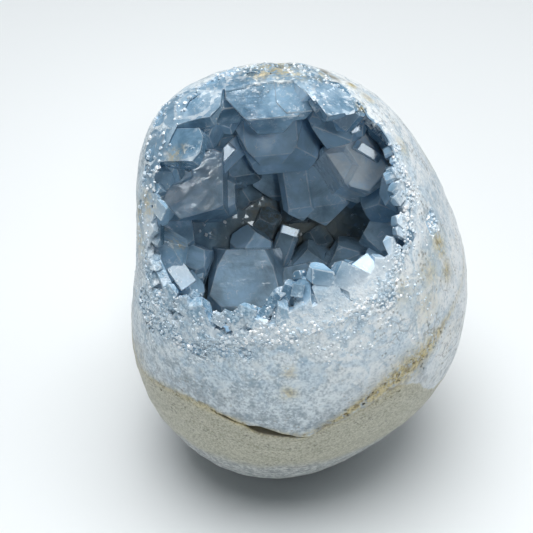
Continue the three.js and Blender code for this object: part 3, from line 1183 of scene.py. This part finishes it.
def make_sugar(material, crust):
    """The tiny crystals on the crust and the polish, pressed back where they would stand too proud."""
    head = (0, 0, GRAIN["head"])
    grain = crystal_object(crystal(head, (0, 90), 0, GRAIN["size"], GRAIN["ridge"], plain=True))
    sugar = sugar_ground(crust)
    tree, values = sugar_tree(grain, material)
    modifier = sugar.modifiers.new("sugar", "NODES")
    modifier.node_group = tree
    for socket in tree.interface.items_tree:
        if socket.in_out == "INPUT" and socket.name in values:
            modifier[socket.identifier] = values[socket.name]
    apply_modifiers(sugar)
    discard(grain)
    points = vertex_points(sugar.data)
    excess = np.maximum(-depth_in(STONE, points) - SUGAR_PROUD, 0)
    set_points(sugar.data, points - ways_out(STONE, points)[0] * excess[:, None])
    return sugar


# ---- Materials ----

CELESTITE_IOR = 1.62
ABSORB = {"Color": (0.3, 0.6, 0.85, 1), "Density": 35}

# Colours of the crystals. A pair goes from its first colour to its second.
MILK = (0.82, 0.89, 0.93)
LIGHT_BLUE = (0.48, 0.74, 0.98)
DARK_BLUE = (0.14, 0.29, 0.43)
DARK_GREY = (0.22, 0.3, 0.34)
GREY = (0.42, 0.5, 0.55)
# the recess wall's dark, partly its own colour and partly painted shade
DARK_WALL_AND_SHADE = (0.24, 0.25, 0.22)
WHITE_SPECK = (0.9, 0.93, 0.94)
CRUMBS_UPPER = ((0.4, 0.57, 0.71), (0.88, 0.93, 0.95))
CRUMBS_LOWER = ((0.13, 0.27, 0.4), (0.4, 0.6, 0.75))
CRUMBS_WHITE = (0.92, 0.95, 0.96)
STAIN = ((0.62, 0.5, 0.22), (0.2, 0.14, 0.05))
SUGAR_TINTS = ((0.66, 0.81, 0.92), (0.94, 0.96, 0.97))

# Colours of the stone above the seam.
STONE_GRAIN = ((0.3, 0.39, 0.46), (0.78, 0.87, 0.92))
STONE_WHITE = (0.85, 0.895, 0.915)
STONE_GLASS = (0.3, 0.43, 0.54)
STONE_POOL = ((0.3, 0.44, 0.57), (0.56, 0.71, 0.82))
STONE_CREST = (0.78, 0.85, 0.88)
STONE_AT_SEAM = (0.26, 0.3, 0.33)
STONE_LEFT = (0.4, 0.46, 0.49)
STONE_SPECK = (0.2, 0.2, 0.19)
STONE_WARM = (0.78, 0.66, 0.44)
STONE_JOINT = (0.2, 0.23, 0.25)
STONE_BLUE = (0.33, 0.47, 0.58)

# Colours of the rock under the seam, of the vein and of open stone, whose dark end is partly earth and partly
# painted shade in the crack, the pits and the hollows.
TAN = ((0.3, 0.3, 0.22), (0.58, 0.57, 0.47))
FOOT = ((0.24, 0.27, 0.28), (0.58, 0.6, 0.58))
FOOT_STREAK = (0.14, 0.15, 0.16)
TAN_SPECK = (0.1, 0.1, 0.09)
EARTH = ((0.24, 0.19, 0.08), (0.62, 0.54, 0.28))
SEAM_LINE = (0.13, 0.1, 0.04)
OPEN_STONE_AND_SHADE = ((0.75, 0.85, 0.92), (0.1, 0.085, 0.04))


class Finish:
    """A material being made. Each call adds its steps and returns their result."""

    def __init__(self, name):
        self.material = bpy.data.materials.new(name)
        self.material.use_nodes = True
        self.tree = self.material.node_tree
        self.shader = self.tree.nodes["Principled BSDF"]
        self.shader.name = self.shader.label = name
        coordinates = self.step("ShaderNodeTexCoord").outputs["Object"]
        self.place = self.vector("SCALE", coordinates, 1 / MM)

    def step(self, kind, inputs=(), **settings):
        """Adds one node, its inputs set or joined."""
        made = self.tree.nodes.new(kind)
        for name, value in settings.items():
            setattr(made, name, value)
        for name, value in dict(inputs).items():
            self.put(made.inputs[name], value)
        return made

    def put(self, socket, value):
        """Joins a socket to another, or sets it to a value."""
        if isinstance(value, bpy.types.NodeSocket):
            self.tree.links.new(value, socket)
        else:
            socket.default_value = value

    def set(self, name, value):
        """Sets or joins one of the shader's own sockets."""
        if isinstance(value, tuple) and len(value) == 3:
            value = (*value, 1)
        self.put(self.shader.inputs[name], value)

    def vector(self, operation, a, b):
        """A sum on vectors: SCALE by a number, MULTIPLY or ADD by a vector."""
        key = 3 if operation == "SCALE" else 1
        return self.step("ShaderNodeVectorMath", {0: a, key: b}, operation=operation).outputs[0]

    def axes(self):
        """The place as x, y and z in millimetres."""
        return self.step("ShaderNodeSeparateXYZ", {0: self.place}).outputs

    def chain(self, operation, values):
        """Works out any number of values, from the first to the last."""
        result = values[0]
        for value in values[1:]:
            result = self.step("ShaderNodeMath", {0: result, 1: value}, operation=operation).outputs[0]
        return result

    def plus(self, *values):
        return self.chain("ADD", values)

    def minus(self, *values):
        return self.chain("SUBTRACT", values)

    def times(self, *values):
        return self.chain("MULTIPLY", values)

    def most(self, *values):
        return self.chain("MAXIMUM", values)

    def kept(self, name):
        """A number kept on the mesh."""
        return self.step("ShaderNodeAttribute", attribute_name=name).outputs["Fac"]

    def kept_vector(self, name):
        """A vector kept on the mesh."""
        return self.step("ShaderNodeAttribute", attribute_name=name).outputs["Vector"]

    def noise(self, size, detail=3, rough=0.5, twist=0.0, place=None):
        """Soft noise from 0 to 1, its patches about size millimetres across."""
        inputs = {
            "Vector": place or self.place,
            "Scale": 1 / size,
            "Detail": detail,
            "Roughness": rough,
            "Distortion": twist,
        }
        return self.step("ShaderNodeTexNoise", inputs).outputs["Fac"]

    def warped(self, size, by):
        """The place, pushed about by soft noise."""
        inputs = {"Vector": self.place, "Scale": 1 / size, "Detail": 2}
        colour = self.step("ShaderNodeTexNoise", inputs).outputs["Color"]
        push = self.vector("SCALE", self.vector("ADD", colour, (-0.5, -0.5, -0.5)), by)
        return self.vector("ADD", self.place, push)

    def cells(self, size, feature="F1", place=None):
        """Cells about size millimetres across: distance from the middle or edge, and a random number."""
        inputs = {"Vector": place or self.place, "Scale": 1 / size}
        made = self.step("ShaderNodeTexVoronoi", inputs, feature=feature)
        return made.outputs["Distance"], made.outputs.get("Color")

    def fade(self, value, low, high, start=0.0, end=1.0):
        """Goes smoothly from start, where value is low, to end, where it is high."""
        inputs = {"Value": value, "From Min": low, "From Max": high, "To Min": start, "To Max": end}
        return self.step("ShaderNodeMapRange", inputs, interpolation_type="SMOOTHSTEP").outputs[0]

    def drop(self, value, low, high):
        """Goes smoothly from 1, where value is low, to 0, where it is high."""
        return self.fade(value, low, high, 1.0, 0.0)

    def near(self, value, middle, reach):
        """1 where value is at the middle, falling to 0 at that reach from it."""
        away = self.step("ShaderNodeMath", {0: self.minus(value, middle)}, operation="ABSOLUTE").outputs[0]
        return self.drop(away, 0.0, reach)

    def patches(self, size, low, high, start=0.0, end=1.0, **kind):
        """Soft noise made into patches, from start where it is low to end where it is high."""
        return self.fade(self.noise(size, **kind), low, high, start, end)

    def specks(self, size, spread, chances, crowd):
        """Specks as wide as spread says, in the cells that chances pick, where there is a crowd."""
        spot, chance = self.cells(size)
        return self.times(self.drop(spot, *spread), self.fade(chance, *chances), crowd)

    def blend(self, share, a, b):
        """Colour a where share is 0 and b where it is 1."""
        a, b = ((*c, 1) if isinstance(c, tuple) else c for c in (a, b))
        inputs = {"Factor": share, 6: a, 7: b}
        return self.step("ShaderNodeMix", inputs, data_type="RGBA").outputs[2]

    def bump(self, height, depth, below=None):
        """Relief of that many millimetres."""
        inputs = {"Height": height, "Distance": depth * MM, "Strength": 1.0}
        if below:
            inputs["Normal"] = below
        return self.step("ShaderNodeBump", inputs).outputs[0]


def celestite():
    """The crystals: clear dark blue to milk white, crumbly at the lip, stained and bare in the recess, which
    is darkened partly with painted shade.
    """
    f = Finish("celestite")
    stand, depth = f.kept("stand"), f.kept("depth")
    growth = f.kept_vector("growth")
    x, _, z = f.axes()
    cut = f.drop(depth, 0.1, 0.5)
    rim = f.drop(depth, 3, 14)
    deep = f.fade(depth, 8, 24)

    # each crystal's tone, clouded, with the faces behind showing through; the tones above 1 are painted light
    # on shaded crystals and painted highlights on cleaved faces
    _, ghost = f.cells(6.5, "SMOOTH_F1", f.warped(3, 2.0))
    ghost = f.fade(ghost, 0.15, 0.85, -0.13, 0.13)
    cloud = f.patches(7, 0.3, 0.7, -0.14, 0.16, detail=5, rough=0.65, twist=0.6)
    light = f.plus(f.kept("tone"), f.times(f.kept("facet"), 0.09), ghost, cloud)

    # white where it is palest, which includes that painted light and those painted highlights, sugary at the
    # roots and frosted near the rim
    inside = f.fade(stand, -0.5, 0.1)
    sugary = f.most(f.drop(z, 84, 96), f.times(f.fade(x, 19, 24), f.drop(z, 100, 108)))
    root = f.times(f.drop(stand, 0.8, 4.5), inside, rim, sugary)
    frost = f.patches(1.6, 0.5, 0.66, detail=5, rough=0.7)
    frost = f.times(frost, f.patches(6, 0.42, 0.6), rim, inside)
    white = f.most(f.fade(light, 0.85, 1.35, 0.0, 0.95), f.times(root, 0.7), f.times(frost, 0.75))
    colour = f.blend(light, f.blend(deep, DARK_BLUE, DARK_GREY), LIGHT_BLUE)
    colour = f.blend(f.times(cut, f.fade(light, 0.1, 0.5, 0.0, 0.4)), colour, GREY)
    colour = f.blend(white, colour, MILK)

    # curved cracks inside, white specks, and pale edges that are partly worn and partly a painted highlight
    bowed = f.near(f.noise(4.5, detail=2, twist=1.4), 0.5, 0.016)
    crack = f.times(bowed, f.patches(4, 0.5, 0.62), f.fade(light, 0.35, 0.8, 0.35, 1.0))
    colour = f.blend(f.times(crack, 0.75), colour, MILK)
    crowd = f.times(f.patches(5, 0.5, 0.64), f.most(f.times(rim, 0.8), cut))
    speck = f.specks(0.95, (0.16, 0.3), (0.5, 0.56), crowd)
    colour = f.blend(f.times(speck, 0.85), colour, WHITE_SPECK)
    worn_edge_and_highlight = f.times(f.kept("edge"), f.patches(2, 0.35, 0.65, 0.15, 0.6))
    colour = f.blend(worn_edge_and_highlight, colour, MILK)

    # the crumbly crystals of the lip, bluer lower down and at the left
    crumbs = f.patches(3, 0.4, 0.56, detail=4, rough=0.65)
    crumbs = f.times(f.drop(depth, 1.2, 6), f.drop(z, 76, 88), crumbs)
    standing = f.times(f.fade(stand, 0.4, 3), f.drop(x, 9, 14))
    lower = f.most(f.fade(depth, 2, 5), standing, f.fade(x, -22, -6, 0.9, 0.0))
    mottle = f.noise(0.8, detail=4, rough=0.65)
    grains = f.blend(f.fade(mottle, 0.42, 0.56), *CRUMBS_UPPER)
    bluer = f.blend(f.fade(mottle, 0.46, 0.62), *CRUMBS_LOWER)
    grains = f.blend(f.times(lower, 0.9), grains, bluer)
    patch = f.patches(3.4, 0.5, 0.6, detail=4, rough=0.6)
    grains = f.blend(f.times(patch, f.fade(lower, 0, 1, 0.85, 0.35)), grains, CRUMBS_WHITE)
    colour = f.blend(f.times(crumbs, 0.9), colour, grains)

    # the bare wall in the recess, dark partly by its own colour and partly as painted shade, and the stains
    bare = f.times(f.fade(depth, 13, 26), f.drop(stand, 0.8, 4))
    colour = f.blend(f.times(bare, 0.8), colour, DARK_WALL_AND_SHADE)
    stain = f.times(f.kept("ochre"), f.patches(1.6, 0.4, 0.58, detail=5, rough=0.75))
    colour = f.blend(f.times(stain, 0.85), colour, f.blend(deep, *STAIN))
    f.set("Base Color", colour)

    clouded = f.plus(f.times(white, 0.3), f.times(bare, 0.6), f.times(cut, 0.1), f.times(crumbs, 0.3))
    f.set("Transmission Weight", f.most(f.minus(f.fade(light, 0.0, 0.7, 0.5, 0.15), clouded), 0.0))
    gloss = f.plus(f.patches(2.5, 0.35, 0.7, 0.05, 0.16, detail=4), f.times(white, 0.2))
    f.set("Roughness", f.plus(gloss, f.times(f.most(cut, crumbs), 0.34)))
    f.set("IOR", CELESTITE_IOR)

    # relief: soft waves, cut and crumbly grain, and lines across each crystal's growth
    grain = f.bump(f.noise(0.8), 0.02, f.bump(f.noise(4), 0.14))
    grain = f.bump(f.times(cut, f.noise(1.1, detail=4, rough=0.7)), 0.22, grain)
    grain = f.bump(f.times(crumbs, mottle), 0.3, grain)
    run = f.step("ShaderNodeVectorMath", {0: f.place, 1: growth}, operation="DOT_PRODUCT").outputs["Value"]
    lined = f.vector("ADD", f.vector("SCALE", growth, run), f.vector("SCALE", f.place, 0.08))
    f.set("Normal", f.bump(f.noise(0.9, rough=0.6, place=lined), 0.02, grain))
    absorb = f.step("ShaderNodeVolumeAbsorption", ABSORB)
    f.tree.links.new(absorb.outputs[0], f.tree.nodes["Material Output"].inputs["Volume"])
    return f.material


def sugar_finish():
    """The tiny crystals: white to pale blue, bluer at the left."""
    f = Finish("sugar")
    x, _, _ = f.axes()
    light = f.plus(f.kept("tone"), f.patches(5, 0.3, 0.7, -0.45, 0.35))
    light = f.minus(light, f.fade(x, -22, -6, 0.35, 0.0))
    f.set("Base Color", f.blend(light, *SUGAR_TINTS))
    f.set("Transmission Weight", f.fade(light, 0.0, 0.8, 0.25, 0.03))
    f.set("Roughness", f.patches(1, 0.3, 0.7, 0.12, 0.35, detail=2))
    f.set("IOR", CELESTITE_IOR)
    f.set("Normal", f.bump(f.noise(0.4, detail=2), 0.02))
    return f.material


def upper_stone(f, height, near_seam, lip, right, fine, speck):
    """The crystal-rich stone: sugary grey-blue grains, whiter on the right, grey and specked at the seam."""
    x, _, z = f.axes()
    medium, clump = f.noise(2.4, detail=4, rough=0.6), f.noise(8)
    grain = f.plus(f.times(fine, 0.5), f.times(medium, 0.32), f.times(clump, 0.18))
    pale = f.blend(f.fade(grain, 0.4, 0.58), *STONE_GRAIN)
    whiter = f.fade(f.plus(x, f.times(height, 0.5)), 0, 32)
    pale = f.blend(f.times(whiter, f.fade(grain, 0.4, 0.56, 0.45, 0.95)), pale, STONE_WHITE)
    glass = f.times(f.patches(2.8, 0.54, 0.68, twist=0.8), f.fade(lip, 0, 1, 0.3, 0.7))
    pale = f.blend(glass, pale, STONE_GLASS)

    # blue pools and pale crests round the pocket
    pool = f.times(f.patches(5.5, 0.46, 0.6, detail=4, rough=0.6, twist=0.7), lip, 0.7)
    pale = f.blend(pool, pale, f.blend(f.fade(fine, 0.35, 0.62), *STONE_POOL))
    crest, _ = f.cells(4.6, place=f.warped(2, 1.0))
    pale = f.blend(f.times(f.drop(crest, 0.05, 0.5), lip, 0.7), pale, STONE_CREST)
    pale = f.blend(f.times(near_seam, f.fade(medium, 0.35, 0.6, 0.62, 0.2)), pale, STONE_AT_SEAM)
    pale = f.blend(f.fade(x, -46, -38, 0.35, 0.0), pale, STONE_LEFT)
    pale = f.blend(f.times(speck, 0.7), pale, STONE_SPECK)

    # a warm tinge and dark joints, most on the right, and the blue band beside the pocket
    warm = f.times(f.patches(10, 0.52, 0.68, detail=4), f.fade(right, 0, 1, 0.25, 1.0))
    pale = f.blend(f.times(warm, 0.13), pale, STONE_WARM)
    joint, _ = f.cells(3.2, "DISTANCE_TO_EDGE", f.warped(2, 1.2))
    few = f.times(f.patches(7, 0.56, 0.64, detail=2), right)
    pale = f.blend(f.times(f.near(joint, 0.02, 0.07), few, 0.6), pale, STONE_JOINT)
    band = f.times(f.near(z, 84, 12), f.fade(x, 26, 30), f.drop(x, 35, 39), f.fade(medium, 0.4, 0.6))
    return f.blend(f.times(band, 0.75), pale, STONE_BLUE)


def lower_rock(f, height, wander, speck):
    """The tan rock: sandy, faintly layered along the seam, with a greyer foot."""
    x, y, z = f.axes()
    layers = {0: f.times(x, 0.12), 1: f.times(y, 0.12), 2: height}
    layers = f.step("ShaderNodeCombineXYZ", layers).outputs[0]
    lines = f.noise(1.6, detail=4, rough=0.6, place=layers)
    grit = f.plus(f.times(lines, 0.25), f.times(f.noise(0.55, rough=0.7), 0.75))
    tan = f.blend(f.fade(grit, 0.36, 0.62), *TAN)
    foot = f.blend(f.patches(1.2, 0.4, 0.6, detail=5, rough=0.7), *FOOT)
    level = f.vector("MULTIPLY", f.place, (0.15, 0.15, 1))
    streak = f.patches(0.7, 0.58, 0.66, place=level)
    foot = f.blend(f.times(streak, 0.6), foot, FOOT_STREAK)
    tan = f.blend(f.drop(f.plus(z, wander), 22, 28), tan, foot)
    return f.blend(f.times(speck, 0.5), tan, TAN_SPECK)


def polished_rock():
    """The ground stone: crystal-rich above the seam, tan rock under it, and an ochre vein along it."""
    f = Finish("polished_rock")
    x, _, _ = f.axes()
    wander = f.minus(f.times(f.noise(9, detail=6, rough=0.65), 7.0), 3.5)
    height = f.plus(f.kept("seam_height"), wander)
    above = f.fade(height, -0.4, 0.4)
    near_seam = f.drop(height, 0, 14)
    lip = f.drop(f.kept("from_pocket"), 1, 15)
    right = f.fade(x, 0, 32)
    fine = f.noise(0.75, detail=4, rough=0.65)
    crowd = f.times(f.patches(5, 0.42, 0.62), f.most(near_seam, f.fade(right, 0, 1, 0.35, 1.0)))
    speck = f.specks(1.05, (0.2, 0.42), (0.44, 0.5), crowd)
    pale = upper_stone(f, height, near_seam, lip, right, fine, speck)
    colour = f.blend(above, lower_rock(f, height, wander, speck), pale)

    # ochre earth in the vein and the spots, a dark line on the seam, and the open crack and pits, dark partly
    # with earth and partly with painted shade
    ragged = f.patches(1.5, 0.32, 0.54, detail=5, rough=0.75)
    earth = f.blend(f.patches(1.1, 0.38, 0.6, detail=4, rough=0.7), *EARTH)
    vein = f.most(f.times(f.kept("vein"), ragged, 1.1), f.times(f.kept("ochre"), ragged, 1.1))
    colour = f.blend(vein, colour, earth)
    line = f.times(f.near(height, 0.0, 0.6), f.patches(3, 0.45, 0.6), f.kept("vein"))
    colour = f.blend(f.times(line, 0.7), colour, SEAM_LINE)
    opened_and_shaded = f.blend(f.fade(f.kept("from_pocket"), 1.0, 3.0), *OPEN_STONE_AND_SHADE)
    colour = f.blend(f.fade(f.kept("depth"), 0.3, 0.8), colour, opened_and_shaded)
    f.set("Base Color", colour)
    f.set("Roughness", f.minus(f.fade(fine, 0.3, 0.7, 0.5, 0.36), f.times(above, 0.04)))
    relief = f.bump(fine, 0.12, f.bump(f.noise(5), 0.12))
    f.set("Normal", f.bump(f.times(speck, -1.0), 0.12, relief))
    return f.material


def finish_piece(obj, material, slot, *nodes_replaced):
    """Gives a piece its material and its body, and says which nodes it stands in for; its slot is not used.
    """
    obj.data.materials.clear()
    obj.data.materials.append(material)
    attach(obj, "root")
    if nodes_replaced:
        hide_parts(*nodes_replaced)


finish_piece(make_stone(), polished_rock(), "stone", "geode_shell")
crust = make_crust()
sugar = sugar_finish()
finish_piece(make_sugar(sugar, crust), sugar, "crystal")
finish_piece(crust, celestite(), "crystal", "crystal_crust")

# ---- Floor, light and camera ----

FLOOR = 900  # half its width
FLOOR_WHITE = (0.84, 0.88, 0.9)
ROOM = {"colour": (0.9, 0.96, 1, 1), "strength": 0.09}
OVERHEAD = {"place": (-40, -40, 900), "size": 800, "power": 9.4}
SIDE = {"place": (500, 0, 800), "size": 500, "power": 1.0}
CARD = {"place": (80, -420, 370), "at": (-4, -3, 82), "soft": 60, "cone": 12, "power": 4.7}
GLINT = {"place": (72, -361, 423), "size": 130, "power": 0.38}
GLINT_BLUE = (0.85, 0.94, 1)
CAMERA = {"place": (-8.4, -240.6, 246.1), "down": 38, "lens": 77.7, "film": 36, "nearest": 10}


def make_floor():
    """A wide pale floor under the stone."""
    bm = bmesh.new()
    bmesh.ops.create_grid(bm, x_segments=1, y_segments=1, size=FLOOR * MM)
    floor = object_from("floor", bm)
    pale = Finish("pale_floor")
    pale.set("Base Color", FLOOR_WHITE)
    pale.set("Roughness", 0.8)
    floor.data.materials.append(pale.material)


def add_light(data, place, power, way):
    """A lamp at a place, turned some way."""
    data.energy = power
    light = object_of(data.name, data)
    light.location = Vector(place) * MM
    light.rotation_euler = way.to_track_quat("-Z", "Y").to_euler()
    return light


def area_light(name, place, size, power):
    """A disc of light, turned to the middle of the floor."""
    data = bpy.data.lights.new(name, "AREA")
    data.shape = "DISK"
    data.size = size * MM
    return add_light(data, place, power, -Vector(place))


def card_light():
    """Light turned into the pocket, as a small card before it would throw."""
    data = bpy.data.lights.new("card", "SPOT")
    data.shadow_soft_size = CARD["soft"] * MM
    data.spot_size = math.radians(CARD["cone"])
    data.spot_blend = 1
    way = Vector(CARD["at"]) - Vector(CARD["place"])
    add_light(data, CARD["place"], CARD["power"], way).visible_glossy = False


def make_light():
    """Soft light from above, a little from the side, and two lights into the pocket."""
    world = bpy.data.worlds.new("studio")
    world.use_nodes = True
    background = world.node_tree.nodes["Background"]
    background.inputs["Color"].default_value = ROOM["colour"]
    background.inputs["Strength"].default_value = ROOM["strength"]
    bpy.context.scene.world = world
    area_light("overhead", **OVERHEAD)
    area_light("side", **SIDE)
    card_light()
    glint = area_light("glint", **GLINT)  # seen only where a face mirrors it
    glint.data.color = GLINT_BLUE
    glint.visible_diffuse = glint.visible_transmission = False


def make_camera():
    """The camera, before the stone and above it."""
    data = bpy.data.cameras.new("camera")
    data.sensor_width = CAMERA["film"]
    data.lens = CAMERA["lens"]
    data.clip_start = CAMERA["nearest"] * MM
    camera = object_of("camera", data)
    camera.location = Vector(CAMERA["place"]) * MM
    camera.rotation_euler = (math.radians(90 - CAMERA["down"]), 0, 0)
    bpy.context.scene.camera = camera


make_floor()
make_light()
make_camera()
bpy.context.scene.view_settings.view_transform = "Standard"
